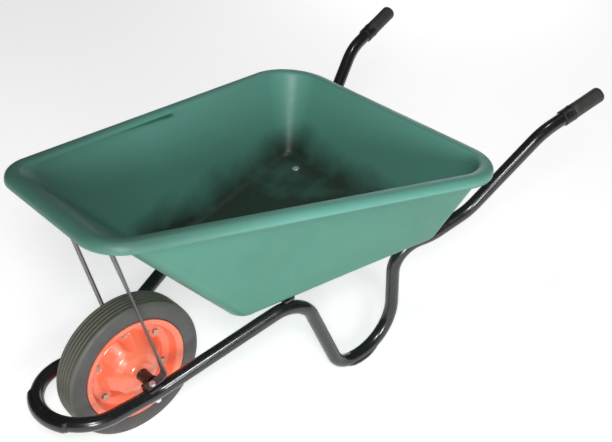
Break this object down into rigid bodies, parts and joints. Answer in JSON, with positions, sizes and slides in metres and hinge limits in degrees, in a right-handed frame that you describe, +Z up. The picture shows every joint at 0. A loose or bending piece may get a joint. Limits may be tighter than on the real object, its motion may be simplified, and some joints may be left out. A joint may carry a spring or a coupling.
{
  "type": "wheelbarrow",
  "caption": "Single-wheel barrow with a moulded tapering tray, bent tube frame, solid tyre on a pressed rim and rubber grips.",
  "frame": {"origin": "middle of the part's overall length and width, on the ground under its feet and wheel", "axes": "+X back from the wheel towards the handles, +Y to the right-hand side of a person pushing it, +Z up"},
  "size_m": [1.3774, 0.7418, 0.627],
  "materials": {
    "frame_paint": "gloss black",
    "tray_plastic": "satin green",
    "stay_steel": "satin dark grey",
    "tyre_rubber": "matt dark grey",
    "rim_paint": "gloss orange-red",
    "bush_nylon": "satin black",
    "grip_rubber": "matt dark grey",
    "collar_rubber": "satin black",
    "zinc": "bright zinc",
    "rim_bolt_steel": "dull zinc",
    "axle_steel": "plain steel"
  },
  "bodies": {
    "frame": {"frame_tube_left": "frame_paint", "frame_tube_right": "frame_paint", "nose_guard": "frame_paint", "foot_shoe_left": "frame_paint", "foot_shoe_right": "frame_paint", "axle_bracket_left": "frame_paint", "axle_bracket_right": "frame_paint", "tray_support_front": "frame_paint", "tray_support_rear": "frame_paint", "nose_spigot": "frame_paint", "tray": "tray_plastic", "stay_left": "stay_steel", "stay_right": "stay_steel", "grip_left": "grip_rubber", "grip_right": "grip_rubber", "grip_collar_left": "collar_rubber", "grip_collar_right": "collar_rubber", "axle_bolts": "zinc", "axle_bolt_washers": "zinc", "axle_bolt_nuts": "zinc", "tray_bolts": "zinc", "tray_bolt_washers": "zinc", "tray_bolt_nuts": "zinc", "stay_bolts": "zinc", "stay_bolt_washers": "zinc", "stay_bolt_nuts": "zinc", "axle_thrust_washers": "zinc", "axle": "axle_steel"},
    "wheel": {"tyre": "tyre_rubber", "rim_half_left": "rim_paint", "rim_half_right": "rim_paint", "rim_bolts": "rim_bolt_steel", "rim_nuts": "rim_bolt_steel", "hub_tube": "frame_paint", "bush_left": "bush_nylon", "bush_right": "bush_nylon"}
  },
  "joints": [
    {"name": "wheel_spin", "type": "hinge", "parent": "frame", "child": "wheel", "pos_m": [-0.45524, 0, 0.1645], "axis": [0, 1, 0], "continuous": true}
  ]
}
